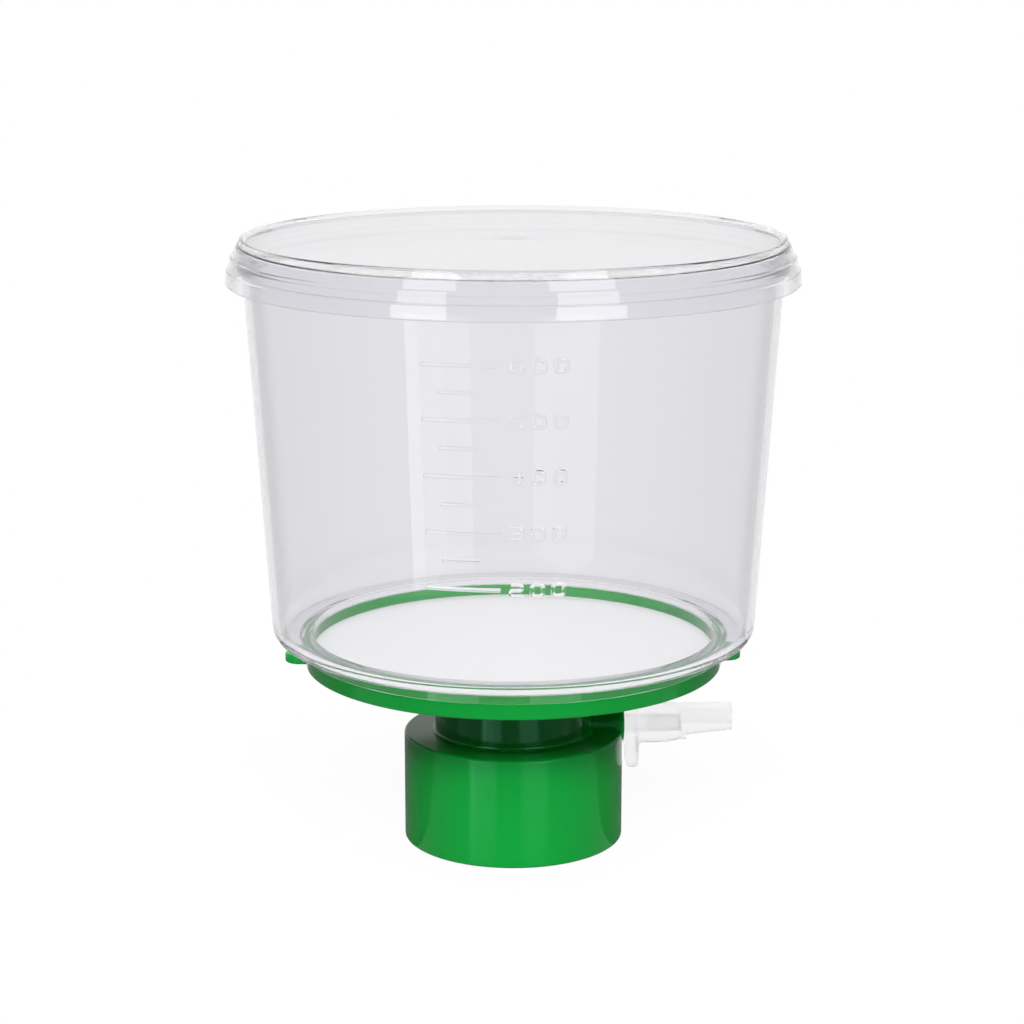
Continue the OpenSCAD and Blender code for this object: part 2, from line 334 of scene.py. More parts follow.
def port_boss():
    """Boss for the vacuum port, kept clear of the bottle's mouth and the neck's inside."""
    boss_r, start = 3.9, 16.0
    boss = turned("port boss", [
        (0, start), (boss_r, start), (boss_r, PORT_FACE_X, 0.25), (0, PORT_FACE_X),
    ], closed=False, lie_along_x=True, steps=72)
    clear_of_neck = NECK_IN_R + 0.9
    for name, radius, foot, top in (("bottle mouth", BORE_R, -1.0, SEAL_TOP_Z),
                                    ("neck inside", clear_of_neck, 10.0, 39.0)):
        room = turned(name, [(0, foot), (radius, foot), (radius, top), (0, top)], closed=False)
        combine(boss, room, "DIFFERENCE")
    return boss


def sink_thread_end(ridge, z, angle, swing, sink):
    """Moves the end of the thread's ridge out into the wall, within a swing in degrees of its end face."""
    way = Vector((math.cos(angle), math.sin(angle), 0))
    limit = math.radians(swing)
    half_height = 1.4 + limit * 0.7
    skin = BORE_R - 0.05

    def at_the_end(v):
        flat = Vector((v.x, v.y, 0))
        return abs(v.z - z) < half_height and flat.angle(way) < limit and flat.length < skin

    shift_corners(ridge, way * sink, at_the_end)


def bottle_thread():
    """Ridge of the collar's inside thread, which runs out into the wall at both ends."""
    turns, pitch, start, foot = 2.4, 4.0, 3.2, 22.2
    depth, height, crest_share = 1.9, 2.4, 0.45
    middle = Vector((foot, 0, start)) * MM
    deselect()
    bpy.ops.mesh.primitive_plane_add(size=MM, location=middle, rotation=(math.pi / 2, 0, 0))
    ridge = settle(named("thread ridge"))
    select_parts(ridge, "VERT", lambda v: True)
    bpy.ops.transform.resize(value=(depth, 1, height), center_override=middle)
    bpy.ops.object.mode_set(mode="OBJECT")
    select_parts(ridge, "VERT", lambda v: v.x < foot)
    bpy.ops.transform.resize(value=(1, 1, crest_share), center_override=middle)
    bpy.ops.mesh.select_all(action="SELECT")
    bpy.ops.mesh.delete(type="ONLY_FACE")
    bpy.ops.object.mode_set(mode="OBJECT")
    screw = ridge.modifiers.new("thread", "SCREW")
    screw.angle = math.radians(360 * turns)
    screw.screw_offset = pitch * turns * MM
    screw.steps = screw.render_steps = 144
    pick(ridge)
    bpy.ops.object.modifier_apply(modifier=screw.name)
    bpy.ops.object.mode_set(mode="EDIT")
    bpy.ops.mesh.select_all(action="SELECT")
    bpy.ops.mesh.fill_holes(sides=0)
    bpy.ops.object.mode_set(mode="OBJECT")
    for angle, z in ((0.0, start), (math.radians(360 * turns), start + pitch * turns)):
        for swing, sink in ((3.0, 0.3135), (9.0, 0.198), (15.0, 0.099)):
            sink_thread_end(ridge, z, angle, swing, sink)
    return close_up(ridge)


def make_base():
    """The green base, in one moulding."""
    spout_in, spout_out, spout_foot = 3.5, 4.7, 21.0
    spout_mouth, seal_seat, collar_top = 37.35, 22.25, 24.0
    flange_foot, flange_foot_r, flange_top_r = 39.7, 45.3, 45.9
    tongue_in, tongue_out, tongue_top = 44.7, 45.5, 45.3
    base = turned("base_moulding", [
        (spout_in, spout_foot, 0.3), (spout_out, spout_foot, 0.3), (spout_out, floor_under(spout_out), 0.6),
        (NECK_IN_R, floor_under(NECK_IN_R), 0.6), (NECK_IN_R, SEAL_TOP_Z, 0.3),
        (seal_seat, SEAL_TOP_Z), (seal_seat, LEDGE_Z, 0.15), (BORE_R, LEDGE_Z), (BORE_R, 0, 0.35),
        (COLLAR_R, 0, 0.5), (COLLAR_R, collar_top, 0.6), (NECK_R, collar_top, 0.8),
        (NECK_R, floor_under(NECK_R), 0.5), (FLOOR_EDGE_R, flange_foot, 0.5),
        (flange_foot_r, flange_foot, 0.35), (flange_top_r, SEAT_Z, 0.3), (tongue_out, SEAT_Z),
        (tongue_out, tongue_top, 0.2), (tongue_in, tongue_top, 0.2), (tongue_in, MEMBRANE_FOOT_Z),
        (FLOOR_EDGE_R, MEMBRANE_FOOT_Z, 0.15), (FLOOR_EDGE_R, FLOOR_EDGE_Z, 0.3),
        (spout_in, spout_mouth, 0.5),
    ])
    for part in (support_ribs(), flange_ears(), port_boss(), bottle_thread()):
        combine(base, part, "UNION")
    combine(base, rod("socket", 2.5, 17.5, 26.0), "DIFFERENCE")
    combine(base, rod("passage", 1.6, 14.0, 18.0), "DIFFERENCE")
    return base


# The cup with its graduations


def cup_radius(z):
    """Outside radius of the cup's wall."""
    return CUP_FOOT_R + (z - CUP_FOOT_Z) * math.tan(WALL_DRAFT)


def graduation_line(z, start, end):
    """A raised round-backed line on the wall, between two turns in degrees from the front."""
    proud, half_height, rooted = 0.4, 0.45, 0.6
    out = cup_radius(z) + proud
    foot = cup_radius(z) - rooted
    low, high = z - half_height, z + half_height
    sweep = end - start
    line = turned("line", [(out, low, 0.4), (out, high, 0.4), (foot, high), (foot, low)],
                  steps=max(8, round(sweep * 1.2)), sweep=sweep)
    line.rotation_euler.z = math.radians(end - 90)
    return settle(line)


# Strokes of each numeral, drawn about its middle in mm as (across, up) or (across, up, corner radius)
NUMERAL_STROKES = {
    "0": [
        [(-1.1, -1.2, 0.7), (1.1, -1.2, 0.7), (1.1, 1.2, 0.7), (-1.1, 1.2, 0.7)],
    ],
    "2": [
        [(-1.1, 1.2), (1.1, 1.2, 0.5), (1.1, 0.0, 0.5), (-1.1, 0.0, 0.5), (-1.1, -1.2, 0.45), (1.2, -1.2)],
    ],
    "3": [
        [(-1.1, 1.2), (1.1, 1.2, 0.6), (1.1, -1.2, 0.6), (-1.1, -1.2)],
        [(-0.5, 0.0), (1.0, 0.0)],
    ],
    "4": [
        [(-1.0, 1.2), (-1.0, -0.2, 0.45), (1.3, -0.2)],
        [(0.6, 1.2), (0.6, -1.2)],
    ],
    "5": [
        [(1.1, 1.2), (-1.1, 1.2, 0.45), (-1.1, 0.1, 0.45), (1.1, 0.1, 0.5), (1.1, -1.2, 0.5), (-1.1, -1.2)],
    ],
    "6": [
        [(-1.1, -1.2, 0.6), (1.1, -1.2, 0.6), (1.1, 0.25, 0.6), (-1.1, 0.25, 0.6)],
        [(-1.0, -0.2), (-1.0, 1.2, 0.6), (1.0, 1.2)],
    ],
}


def stroke(path, thickness):
    """A round-backed stroke of a numeral. A path whose first corner is rounded is closed into a ring."""
    wire = draw_outline("stroke", path, closed=len(path[0]) == 3, lie_along_x=False)
    pick(wire)
    bpy.ops.object.convert(target="CURVE")
    wire = bpy.context.object
    wire.data.bevel_depth = thickness / 2 * MM
    wire.data.bevel_resolution = 2
    wire.data.use_fill_caps = True
    bpy.ops.object.convert(target="MESH")
    return close_up(bpy.context.object)


def stand_on_wall(piece, z, azimuth):
    """Stands a stroke on the cup's wall at a height and a turn from the front."""
    sunk = 0.03
    turn = math.radians(azimuth)
    radius = (cup_radius(z) - sunk) * MM
    piece.rotation_euler = (WALL_DRAFT, 0, turn)
    piece.location = (radius * math.sin(turn), -radius * math.cos(turn), z * MM)
    return settle(piece)


def graduations():
    """Lines every 50 mL and numerals every 100 mL, from 200 to 600."""
    thickness, thinner, first_turn, digit_turn = 0.88, 0.06, -1.2, 4.45
    long_line, short_line = (-20.3, -4.5), (-16.8, -8.9)
    hundreds_z, fifties_z = (69.1, 80.6, 92.05, 103.4, 114.4), (74.9, 86.4, 97.8, 109.0)
    strokes = {}
    for digit, drawn in NUMERAL_STROKES.items():
        strokes[digit] = [stroke(path, thickness - thinner * i) for i, path in enumerate(drawn)]
    marks = []
    for hundreds, z in zip("23456", hundreds_z):
        marks.append(graduation_line(z, *long_line))
        for place, digit in enumerate(hundreds + "00"):
            for piece in strokes[digit]:
                marks.append(stand_on_wall(duplicate(piece), z, first_turn + digit_turn * place))
    for z in fifties_z:
        marks.append(graduation_line(z, *short_line))
    for pieces in strokes.values():
        for piece in pieces:
            bpy.data.objects.remove(piece)
    return marks


def make_cup():
    """The clear cup: clamping lip, weld groove, skirt, rounded floor, tapered wall, bead and rim."""
    groove_in, groove_out, groove_top, skirt_r = 44.6, 45.6, 45.4, 46.3
    bead_r, bead_foot, bead_swell, bead_top = 58.3, 126.0, 126.4, 127.95
    rings = [(cup_radius(z), z) for z in (52, 58, 64, *range(67, 119, 2), 121, 124)]
    cup = turned("graduated_cup", [
        (LIP_R, MEMBRANE_TOP_Z, 0.1), (groove_in, MEMBRANE_TOP_Z, 0.1), (groove_in, groove_top, 0.15),
        (groove_out, groove_top, 0.15), (groove_out, SEAT_Z, 0.05), (skirt_r, SEAT_Z, 0.2),
        (skirt_r, CUP_FOOT_Z, 0.5), (CUP_FOOT_R, CUP_FOOT_Z, 4.5), *rings,
        (cup_radius(bead_foot), bead_foot, 0.3), (bead_r, bead_swell, 0.35), (bead_r, bead_top, 0.5),
        (cup_radius(bead_top), bead_top, 0.25), (cup_radius(CUP_RIM_Z), CUP_RIM_Z, 0.35),
        (cup_radius(CUP_RIM_Z) - CUP_WALL, CUP_RIM_Z, 0.35),
        (cup_radius(CUP_FLOOR_Z) - CUP_WALL, CUP_FLOOR_Z, 3.0), (LIP_R, CUP_FLOOR_Z, 0.35),
    ], steps=360)
    for mark in graduations():
        combine(cup, mark, "UNION")
    return cup


# The lid


def make_lid():
    """The clear push-on lid: sunk panel with a gate dimple, low rim, sloping shoulder and stepped skirt."""
    panel_z, rim_z = 132.1, 133.0
    return turned("push_on_lid", [
        (0, 132.06), (3.0, 132.065, 2.0), (5.6, 132.095, 1.0), (6.6, panel_z, 0.8), (56.42, panel_z, 0.5),
        (57.02, rim_z, 0.3), (57.72, rim_z, 0.35), (58.62, 131.4, 0.8), (59.52, 129.2, 0.25),
        (59.82, 129.1, 0.2), (60.47, 126.5, 0.2), (60.72, 126.4, 0.15), (61.02, 123.7, 0.25),
        (60.72, 123.4, 0.2), (60.02, 123.4, 0.25), (59.52, 126.4, 0.4), (58.82, 128.8, 0.8),
        (57.99, CUP_RIM_Z, 0.3), (0, CUP_RIM_Z),
    ], closed=False)


# Membrane and sealing ring


def make_membrane():
    """The filter membrane: a thin disc with a slight waviness from lying on the ribs."""
    radii = range(0, 44, 2)
    held_from = 41.5
    disc = turned("membrane_disc", [
        *[(r, MEMBRANE_TOP_Z) for r in radii],
        (MEMBRANE_R, MEMBRANE_TOP_Z, 0.03), (MEMBRANE_R, MEMBRANE_FOOT_Z, 0.03),
        *[(r, MEMBRANE_FOOT_Z) for r in reversed(radii)],
    ], closed=False, steps=192)
    select_parts(disc, "VERT", lambda v: math.hypot(v.x, v.y) < held_from)
    bpy.ops.object.vertex_group_add()
    bpy.ops.object.vertex_group_assign()
    bpy.ops.object.mode_set(mode="OBJECT")
    swell = bpy.data.textures.new("slow swell", "CLOUDS")
    swell.noise_scale = 0.016
    waves = disc.modifiers.new("waves", "DISPLACE")
    waves.texture = swell
    waves.direction = "Z"
    waves.mid_level = 0.3
    waves.strength = 0.35 * MM
    waves.vertex_group = disc.vertex_groups[0].name
    pick(disc)
    bpy.ops.object.modifier_apply(modifier=waves.name)
    disc.vertex_groups.clear()
    return disc


def make_seal():
    """The sealing ring in the collar, a soft ring of square section with a raised bead."""
    inside, outside, foot = 16.2, 22.2, LEDGE_Z + 0.1
    return turned("neck_seal", [
        (inside, foot, 0.2), (18.4, foot, 0.2), (18.9, LEDGE_Z, 0.2), (19.6, LEDGE_Z, 0.2),
        (20.1, foot, 0.2), (outside, foot, 0.2), (outside, SEAL_TOP_Z, 0.2), (inside, SEAL_TOP_Z, 0.2),
    ], steps=160)


# Hose adapter and its filter plug


def thumb_tab():
    """Tab that hangs from the adapter's flange, thinner towards its round lower end."""
    foot, top, half_width = 15.0, 25.0, 4.5
    thinner, end_rounding, edge_rounding = 0.6, 4.3, 1.0
    tab = block("thumb tab", (PORT_FACE_X, -half_width, foot), (TAB_BACK_X, half_width, top))
    shift_corners(tab, (thinner, 0, 0), lambda v: v.z < foot + 1 and v.x < PORT_FACE_X + 1)
    select_parts(tab, "EDGE", lambda a, b: abs(a.x - b.x) > 1 and max(a.z, b.z) < foot + 1)
    bpy.ops.mesh.bevel(offset=end_rounding * MM, segments=16, affect="EDGES")
    bpy.ops.object.mode_set(mode="OBJECT")
    select_parts(tab, "EDGE", lambda a, b: abs(a.x - b.x) < 0.5 and max(a.z, b.z) < top - 0.1)
    bpy.ops.mesh.bevel(offset=edge_rounding * MM, segments=5, affect="EDGES")
    bpy.ops.object.mode_set(mode="OBJECT")
    return close_up(tab)


def nose_cone():
    """The tapered nose, leaned so that its lower side runs level, and cut square at its end."""
    root_r, tip_r, length = 3.8, 3.099, 13.4
    start_x, start_z = 33.4, 25.6
    rise, run = 0.675, 12.9
    lean = math.atan(rise / run)
    middle_x = start_x + length / 2 * math.cos(lean)
    middle_z = start_z + length / 2 * math.sin(lean)
    deselect()
    bpy.ops.mesh.primitive_cone_add(
        vertices=128, radius1=root_r * MM, radius2=tip_r * MM, depth=length * MM,
        location=(middle_x * MM, 0, middle_z * MM), rotation=(0, math.pi / 2 - lean, 0),
    )
    cone = settle(named("nose cone"))
    combine(cone, block("square cut", (46.3, -6, 18), (52, 6, 34)), "DIFFERENCE")
    return round_edges(cone, 0.12, 2)


def make_adapter():
    """The white push-in adapter: spigot, flange, barrel, leaned nose, thumb tab and web."""
    spigot_r, flange_r, barrel_r, spigot_end, barrel_end = 2.45, 4.8, 4.4, 17.8, 37.2
    body = turned("hose_connector", [
        (0, spigot_end), (spigot_r, spigot_end, 0.4), (spigot_r, PORT_FACE_X), (flange_r, PORT_FACE_X, 0.25),
        (flange_r, TAB_BACK_X, 0.35), (barrel_r, TAB_BACK_X, 0.1), (barrel_r, 33.2, 2.0), (3.9, 36.2, 1.0),
        (3.4, barrel_end, 0.4), (0, barrel_end),
    ], closed=False, lie_along_x=True, steps=128)
    land = round_edges(rod("nose land", 3.05, 45.8, 48.1, NOSE_Z, 128), 0.3, 4)
    stop = round_edges(block("nose stop", (36.8, -0.8, 21.2), (38.2, 0.8, 23.2)), 0.25, 3)
    web = block("web", (26.0, -0.8, 17.0), (28.9, 0.8, 23.0))
    shift_corners(web, (-2.2, 0, 0), lambda v: v.z < 18 and v.x > 28)
    for part in (nose_cone(), land, stop, web, thumb_tab()):
        combine(body, part, "UNION")
    combine(body, rod("barrel bore", 1.7, 16.0, PLUG_END_X, corners=54), "DIFFERENCE")
    combine(body, rod("nose bore", 1.5, 36.7, 50.0, NOSE_Z, 54), "DIFFERENCE")
    return body


def make_filter():
    """The fibrous air filter plug in the barrel."""
    plug_r, start = 1.67, 29.8
    return turned("filter_plug", [
        (0, start), (plug_r, start, 0.2), (plug_r, PLUG_END_X, 0.2), (0, PLUG_END_X),
    ], closed=False, lie_along_x=True, steps=64)


# Materials


def add_node(tree, kind, **settings):
    """A node with its plain settings."""
    node = tree.nodes.new(kind)
    for key, value in settings.items():
        setattr(node, key, value)
    return node


def set_inputs(node, **values):
    """Sets the node's inputs by name, where an underscore stands for a space."""
    for socket, value in values.items():
        node.inputs[socket.replace("_", " ")].default_value = value


def smooth_step(tree, value, start, end, low=0.0, high=1.0):
    """Follows a value and goes smoothly from low, where it is start, to high, where it is end."""
    step = add_node(tree, "ShaderNodeMapRange", interpolation_type="SMOOTHSTEP")
    set_inputs(step, From_Min=start, From_Max=end, To_Min=low, To_Max=high)
    tree.links.new(value, step.inputs["Value"])
    return step.outputs["Result"]


def scaled_colour(tree, colour, share):
    """A colour scaled by a share."""
    scaled = add_node(tree, "ShaderNodeVectorMath", operation="SCALE")
    tree.links.new(colour, scaled.inputs[0])
    tree.links.new(share, scaled.inputs["Scale"])
    return scaled.outputs[0]


def mixed_shaders(tree, share, first, second, surface):
    """Mixes two shaders by a share and leads them to the surface."""
    mix = add_node(tree, "ShaderNodeMixShader")
    tree.links.new(share, mix.inputs[0])
    tree.links.new(first.outputs[0], mix.inputs[1])
    tree.links.new(second.outputs[0], mix.inputs[2])
    tree.links.new(mix.outputs[0], surface)


def plastic_skin():
    """Node group: slow drift of colour, roughness and height as in moulded plastic."""
    tree = bpy.data.node_groups.new("plastic_skin", "ShaderNodeTree")
    colour, number = "NodeSocketColor", "NodeSocketFloat"
    for name, kind in (("Colour", colour), ("Colour Drift", number), ("Roughness", number),
                       ("Roughness Drift", number), ("Grain Size", number), ("Grain Share", number)):
        tree.interface.new_socket(name=name, in_out="INPUT", socket_type=kind)
    for name, kind in (("Colour", colour), ("Roughness", number), ("Height", number)):
        tree.interface.new_socket(name=name, in_out="OUTPUT", socket_type=kind)
    link = tree.links.new
    given = add_node(tree, "NodeGroupInput")
    result = add_node(tree, "NodeGroupOutput")
    place = add_node(tree, "ShaderNodeTexCoord")
    stretch = add_node(tree, "ShaderNodeMapping")
    set_inputs(stretch, Scale=(1, 1, 0.35))
    link(place.outputs["Object"], stretch.inputs["Vector"])
    flow = add_node(tree, "ShaderNodeTexNoise")
    set_inputs(flow, Scale=60.0, Detail=3.0, Distortion=0.6)
    link(stretch.outputs["Vector"], flow.inputs["Vector"])
    grain = add_node(tree, "ShaderNodeTexNoise")
    set_inputs(grain, Detail=2.0)
    link(given.outputs["Grain Size"], grain.inputs["Scale"])
    link(place.outputs["Object"], grain.inputs["Vector"])
    drift = add_node(tree, "ShaderNodeMath", operation="SUBTRACT")
    drift.inputs[1].default_value = 0.5
    link(flow.outputs["Fac"], drift.inputs[0])
    shade = add_node(tree, "ShaderNodeMath", operation="MULTIPLY_ADD")
    shade.inputs[2].default_value = 1.0
    link(drift.outputs[0], shade.inputs[0])
    link(given.outputs["Colour Drift"], shade.inputs[1])
    link(scaled_colour(tree, given.outputs["Colour"], shade.outputs[0]), result.inputs["Colour"])
    rough = add_node(tree, "ShaderNodeMath", operation="MULTIPLY_ADD")
    link(drift.outputs[0], rough.inputs[0])
    link(given.outputs["Roughness Drift"], rough.inputs[1])
    link(given.outputs["Roughness"], rough.inputs[2])
    link(rough.outputs[0], result.inputs["Roughness"])
    height = add_node(tree, "ShaderNodeMix", data_type="FLOAT")
    link(given.outputs["Grain Share"], height.inputs[0])
    link(flow.outputs["Fac"], height.inputs[2])
    link(grain.outputs["Fac"], height.inputs[3])
    link(height.outputs[0], result.inputs["Height"])
    return tree


def finish_material(name, skin, colour, colour_drift, roughness, roughness_drift, grain_size, grain_share,
                    relief, **settings):
    """A Principled material fed by the plastic skin, with a relief in mm."""
    material = bpy.data.materials.new(name)
    material.use_nodes = True
    tree = material.node_tree
    shader = tree.nodes["Principled BSDF"]
    group = add_node(tree, "ShaderNodeGroup", node_tree=skin, name="skin")
    set_inputs(group, Colour=(*colour, 1), Colour_Drift=colour_drift, Roughness=roughness,
               Roughness_Drift=roughness_drift, Grain_Size=grain_size, Grain_Share=grain_share)
    tree.links.new(group.outputs["Colour"], shader.inputs["Base Color"])
    tree.links.new(group.outputs["Roughness"], shader.inputs["Roughness"])
    bump = add_node(tree, "ShaderNodeBump")
    set_inputs(bump, Strength=1.0, Distance=relief * MM)
    tree.links.new(group.outputs["Height"], bump.inputs["Height"])
    tree.links.new(bump.outputs["Normal"], shader.inputs["Normal"])
    set_inputs(shader, **settings)
    return material


def distance_from_axis(tree):
    """How far a spot of the surface lies from the upright axis, in m."""
    place = add_node(tree, "ShaderNodeTexCoord")
    flat = add_node(tree, "ShaderNodeVectorMath", operation="MULTIPLY")
    flat.inputs[1].default_value = (1, 1, 0)
    tree.links.new(place.outputs["Object"], flat.inputs[0])
    reach = add_node(tree, "ShaderNodeVectorMath", operation="LENGTH")
    tree.links.new(flat.outputs[0], reach.inputs[0])
    return reach.outputs["Value"]


def facing_share(tree, blend):
    """0 where the surface faces the eye, and 1 where it is seen along."""
    layer = add_node(tree, "ShaderNodeLayerWeight")
    set_inputs(layer, Blend=blend)
    return layer.outputs["Facing"]


def clear_colour(tree, facing, grazing, panel, brim, brim_from):
    """Colour of a clear plastic, darker at grazing angles, in the panel and along the brim."""
    rim_foot, rim_top, soft = 54.0, 56.4, 0.3
    along_from, along_to = 0.6, 0.8
    tint = add_node(tree, "ShaderNodeMix", data_type="RGBA")
    tint.inputs[6].default_value = (*facing, 1)
    tint.inputs[7].default_value = (*grazing, 1)
    tree.links.new(facing_share(tree, 0.25), tint.inputs[0])
    reach = distance_from_axis(tree)
    depth = smooth_step(tree, reach, rim_foot * MM, rim_top * MM, panel, 1.0)
    twice = add_node(tree, "ShaderNodeVectorMath", operation="MULTIPLY")
    tree.links.new(scaled_colour(tree, tint.outputs[2], depth), twice.inputs[0])
    tree.links.new(tint.outputs[2], twice.inputs[1])
    seen_along = smooth_step(tree, facing_share(tree, 0.5), along_from, along_to)
    outside = smooth_step(tree, reach, (brim_from - soft) * MM, (brim_from + soft) * MM)
    both = add_node(tree, "ShaderNodeMath", operation="MULTIPLY")
    tree.links.new(seen_along, both.inputs[0])
    tree.links.new(outside, both.inputs[1])
    share = add_node(tree, "ShaderNodeMath", operation="MULTIPLY_ADD")
    share.inputs[1].default_value = brim - 1.0
    share.inputs[2].default_value = 1.0
    tree.links.new(both.outputs[0], share.inputs[0])
    return scaled_colour(tree, twice.outputs[0], share.outputs[0])


def clear_finish(name, skin, facing, grazing, ior, coat, clarity, brim, panel=1.0, brim_from=0.0):
    """A clear plastic, a little darker at grazing angles, that lets lamp and scattered light pass straight.

    brim darkens what is seen along the wall, outside the radius brim_from in mm. panel darkens the middle
    out to the lid's rim, where the plastic is thicker."""
    material = finish_material(
        name, skin, facing, colour_drift=0.015, roughness=0.03, roughness_drift=0.015, grain_size=900.0,
        grain_share=0.0, relief=0.004, Transmission_Weight=clarity, IOR=ior, Coat_Weight=coat,
        Coat_Roughness=0.05,
    )
    tree = material.node_tree
    colour = clear_colour(tree, facing, grazing, panel, brim, brim_from)
    tree.links.new(colour, tree.nodes["skin"].inputs["Colour"])
    path = add_node(tree, "ShaderNodeLightPath")
    either = add_node(tree, "ShaderNodeMath", operation="MAXIMUM")
    tree.links.new(path.outputs["Is Shadow Ray"], either.inputs[0])
    tree.links.new(path.outputs["Is Diffuse Ray"], either.inputs[1])
    open_way = add_node(tree, "ShaderNodeBsdfTransparent")
    set_inputs(open_way, Color=(*facing, 1))
    mixed_shaders(tree, either.outputs[0], tree.nodes["Principled BSDF"], open_way,
                  tree.nodes["Material Output"].inputs["Surface"])
    return material


def dress(piece, material, body, slot, *nodes):
    """Gives a piece its material and body, and hides the CAD parts that it stands for. slot is not used."""
    piece.data.materials.clear()
    piece.data.materials.append(material)
    smooth(piece)
    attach(piece, body)
    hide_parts(*nodes)


# Studio: floor, white surround, softboxes and camera


def seen_ray(tree):
    """One value that is 1 for camera, glossy and transmission rays."""
    path = add_node(tree, "ShaderNodeLightPath")
    first = add_node(tree, "ShaderNodeMath", operation="MAXIMUM")
    second = add_node(tree, "ShaderNodeMath", operation="MAXIMUM")
    tree.links.new(path.outputs["Is Camera Ray"], first.inputs[0])
    tree.links.new(path.outputs["Is Glossy Ray"], first.inputs[1])
    tree.links.new(first.outputs[0], second.inputs[0])
    tree.links.new(path.outputs["Is Transmission Ray"], second.inputs[1])
    return second.outputs[0]


def make_surround():
    """A world that looks white and lights softly, more from above than from the sides."""
    side_height, top_height = 0.1, 0.7
    side_light, top_light = 0.01, 0.12
    world = bpy.data.worlds.new("studio")
    bpy.context.scene.world = world
    world.use_nodes = True
    tree = world.node_tree
    soft = tree.nodes["Background"]
    set_inputs(soft, Color=(1, 1, 1, 1))
    place = add_node(tree, "ShaderNodeTexCoord")
    parts = add_node(tree, "ShaderNodeSeparateXYZ")
    tree.links.new(place.outputs["Generated"], parts.inputs[0])
    above = smooth_step(tree, parts.outputs["Z"], side_height, top_height, side_light, top_light)
    tree.links.new(above, soft.inputs["Strength"])
    white = add_node(tree, "ShaderNodeBackground")
    set_inputs(white, Color=(1, 1, 1, 1), Strength=1.0)
    mixed_shaders(tree, seen_ray(tree), soft, white, tree.nodes["World Output"].inputs["Surface"])


def make_floor():
    """A pale floor that looks white and keeps a soft shadow near the object. To bounced light it is nearly
    black, a painted shade that keeps the neck and the flange's underside dark.
    """
    radius, drop = 4.0, 0.00005
    shadow_inner, shadow_outer, shadow_share = 0.06, 0.16, 0.07
    deselect()
    bpy.ops.mesh.primitive_circle_add(vertices=128, radius=radius, fill_type="NGON", location=(0, 0, -drop))
    floor = settle(named("studio_floor"))
    material = bpy.data.materials.new("pale floor")
    material.use_nodes = True
    tree = material.node_tree
    shader = tree.nodes["Principled BSDF"]
    set_inputs(shader, Roughness=0.9, Specular_IOR_Level=0.0)
    path = add_node(tree, "ShaderNodeLightPath")
    # Painted shade: pale for rays that are seen, nearly black for bounced light, so the floor lifts no light
    # into the shade under the flange.
    bounce_shade_paint = add_node(tree, "ShaderNodeMix", data_type="RGBA")
    bounce_shade_paint.inputs[6].default_value = (0.86, 0.86, 0.86, 1)
    bounce_shade_paint.inputs[7].default_value = (0.05, 0.05, 0.05, 1)
    tree.links.new(path.outputs["Is Diffuse Ray"], bounce_shade_paint.inputs[0])
    tree.links.new(bounce_shade_paint.outputs[2], shader.inputs["Base Color"])
    glow = add_node(tree, "ShaderNodeEmission")
    set_inputs(glow, Strength=1.0)
    place = add_node(tree, "ShaderNodeTexCoord")
    far = add_node(tree, "ShaderNodeVectorMath", operation="LENGTH")
    tree.links.new(place.outputs["Object"], far.inputs[0])
    fade = smooth_step(tree, far.outputs["Value"], shadow_inner, shadow_outer, 1.0 - shadow_share, 1.0)
    share = add_node(tree, "ShaderNodeMath", operation="MULTIPLY")
    tree.links.new(seen_ray(tree), share.inputs[0])
    tree.links.new(fade, share.inputs[1])
    mixed_shaders(tree, share.outputs[0], shader, glow, tree.nodes["Material Output"].inputs["Surface"])
    floor.data.materials.append(material)
    floor.visible_glossy = False


def direction(turn, tilt):
    """The way from the object to a place in the studio, by its turn from the camera and its height."""
    turn, tilt = math.radians(turn + CAMERA_TURN), math.radians(tilt)
    return Vector((math.sin(turn) * math.cos(tilt), -math.cos(turn) * math.cos(tilt), math.sin(tilt)))


def panel_size(turns, tilts, far):
    """Width and height of a panel that fills a range of turns and tilts."""
    middle = math.radians(sum(tilts) / 2)
    width = 2 * far * math.cos(middle) * math.tan(math.radians(turns[1] - turns[0]) / 2)
    return width, 2 * far * math.tan(math.radians(tilts[1] - tilts[0]) / 2)


def softbox(name, turns, tilts, level, far=1.2, mirrored=False):
    """A soft lamp as bright as its level, out of the camera's sight. It is either mirrored or it lights."""
    width, height = panel_size(turns, tilts, far)
    way = direction(sum(turns) / 2, sum(tilts) / 2)
    light = bpy.data.lights.new(name, "AREA")
    light.shape = "RECTANGLE"
    light.size = width
    light.size_y = height
    light.energy = level * math.pi * width * height
    lamp = bpy.data.objects.new(name, light)
    bpy.context.scene.collection.objects.link(lamp)
    lamp.location = way * far + STUDIO_MIDDLE
    lamp.rotation_euler = way.to_track_quat("Z", "Y").to_euler()
    lamp.visible_camera = False
    lamp.visible_transmission = False
    lamp.visible_glossy = mirrored
    lamp.visible_diffuse = not mirrored


def painted_shade_sheet():
    """A grey sheet of painted shade on the floor behind the collar that only reflections show. It stands for
    the floor's shadow as the collar reflects it, and keeps the collar's sides deep.
    """
    width, depth, back, drop = 0.32, 0.12, 0.05, 0.00002
    deselect()
    bpy.ops.mesh.primitive_plane_add(size=1, location=(0, back, -drop))
    sheet = named("painted_shade_sheet")
    sheet.scale = (width, depth, 1)
    settle(sheet)
    material = bpy.data.materials.new("painted shade sheet")
    material.use_nodes = True
    shader = material.node_tree.nodes["Principled BSDF"]
    # Painted shade: this grey stands for the floor's shadow seen in the collar's reflection.
    set_inputs(shader, Base_Color=(0.25, 0.25, 0.25, 1), Roughness=0.9, Specular_IOR_Level=0.0)
    sheet.data.materials.append(material)
    sheet.visible_camera = False
    sheet.visible_transmission = False
    sheet.visible_diffuse = False
    sheet.visible_shadow = False


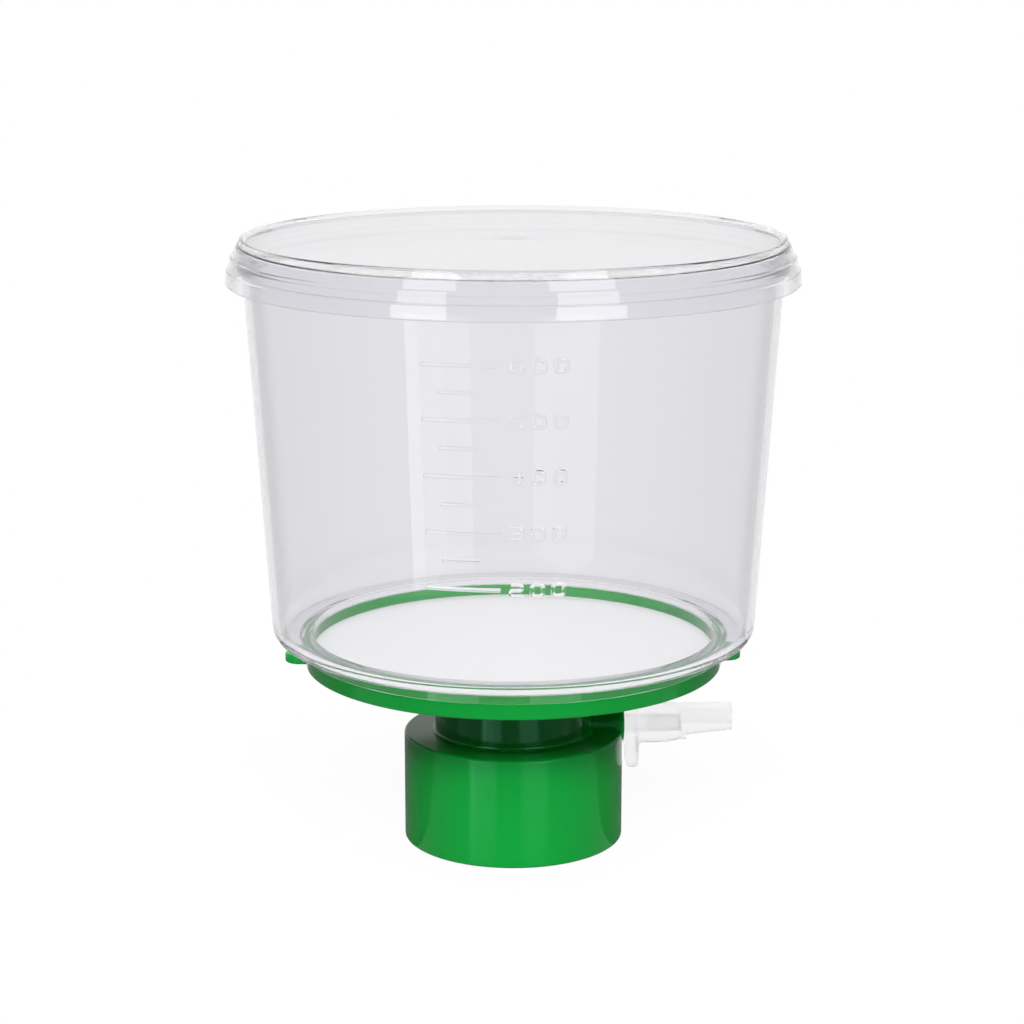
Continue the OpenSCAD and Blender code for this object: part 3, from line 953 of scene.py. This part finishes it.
def make_camera():
    """The camera, a little above the cup's middle, with a long lens."""
    aim_height, aim_left, lens = 0.07284, 0.0003, 93.68
    turn = math.radians(CAMERA_TURN)
    side = Vector((math.cos(turn), math.sin(turn), 0))
    aim = Vector((0, 0, aim_height)) - side * aim_left
    back = direction(0, CAMERA_RISE)
    data = bpy.data.cameras.new("camera")
    data.lens = lens
    camera = bpy.data.objects.new("camera", data)
    bpy.context.scene.collection.objects.link(camera)
    camera.location = aim + back * CAMERA_FAR
    camera.rotation_mode = "QUATERNION"
    camera.rotation_quaternion = back.to_track_quat("Z", "Y")
    bpy.context.scene.camera = camera


# The studio

scene = bpy.context.scene
scene.view_settings.view_transform = "Standard"
scene.cycles.max_bounces = 32
scene.cycles.glossy_bounces = 32
scene.cycles.transmission_bounces = 24
make_camera()
make_surround()
make_floor()
for tilts, level in (((-3, 13), 7.0), ((13, 50), 5.4)):
    softbox("left box", (-47, -25), tilts, level, mirrored=True)
    softbox("right box", (16, 43), tilts, level, mirrored=True)
for turns, level in (((-46, -40.5), 5.2), ((-40.5, -30), 3.2), ((-30, -18), 2.4), ((9, 36), 2.4)):
    softbox("low card", turns, (-20.8, -3), level, far=3.6, mirrored=True)
painted_shade_sheet()
softbox("left fill", (-60, -36), (35, 49), 9.0)
softbox("right fill", (36, 60), (35, 49), 9.5)
softbox("front key", (-29, 29), (27, 41), 16.0)
softbox("back fill", (146, 214), (24, 38), 7.0)
softbox("top box", (-60, 60), (62, 88), 2.2)

# The materials

skin = plastic_skin()
green = finish_material(
    "green plastic", skin, (0.004, 0.35, 0.04), colour_drift=0.10, roughness=0.14, roughness_drift=0.04,
    grain_size=2600.0, grain_share=0.35, relief=0.004,
    Specular_IOR_Level=0.15, Specular_Tint=(0.45, 1.0, 0.85, 1.0),
)
white = finish_material(
    "white plastic", skin, (0.95, 0.95, 0.955), colour_drift=0.02, roughness=0.6, roughness_drift=0.08,
    grain_size=2200.0, grain_share=0.4, relief=0.012, Transmission_Weight=0.95, IOR=1.1,
)
clear = clear_finish(
    "clear cup plastic", skin, facing=(0.935, 0.933, 0.944), grazing=(0.865, 0.86, 0.88),
    ior=1.17, coat=0.25, clarity=0.988, brim=0.73,
)
lid_clear = clear_finish(
    "clear lid plastic", skin, facing=(0.965, 0.964, 0.971), grazing=(0.925, 0.922, 0.935),
    ior=1.18, coat=0.4, clarity=1.0, brim=0.5, panel=0.87, brim_from=58.4,
)
rubber = finish_material(
    "seal rubber", skin, (0.78, 0.78, 0.75), colour_drift=0.08, roughness=0.55, roughness_drift=0.08,
    grain_size=3000.0, grain_share=0.5, relief=0.01,
)
film = finish_material(
    "membrane film", skin, (0.77, 0.77, 0.757), colour_drift=0.02, roughness=0.75, roughness_drift=0.05,
    grain_size=5200.0, grain_share=0.7, relief=0.012,
)
fibre = finish_material(
    "filter fibre", skin, (0.98, 0.98, 0.97), colour_drift=0.08, roughness=0.9, roughness_drift=0.05,
    grain_size=7000.0, grain_share=0.9, relief=0.08, Transmission_Weight=0.9, IOR=1.1,
)

# The pieces, each on its body

dress(make_base(), green, "unit", "green_plastic", "base")
dress(make_seal(), rubber, "unit", "seal_rubber", "neck_gasket")
dress(make_membrane(), film, "unit", "membrane_film", "membrane")
dress(make_cup(), clear, "unit", "clear_cup", "funnel")
dress(make_lid(), lid_clear, "lid", "clear_lid", "lid")
dress(make_adapter(), white, "adapter", "white_plastic", "hose_adapter")
dress(make_filter(), fibre, "adapter", "filter_fibre", "air_filter")
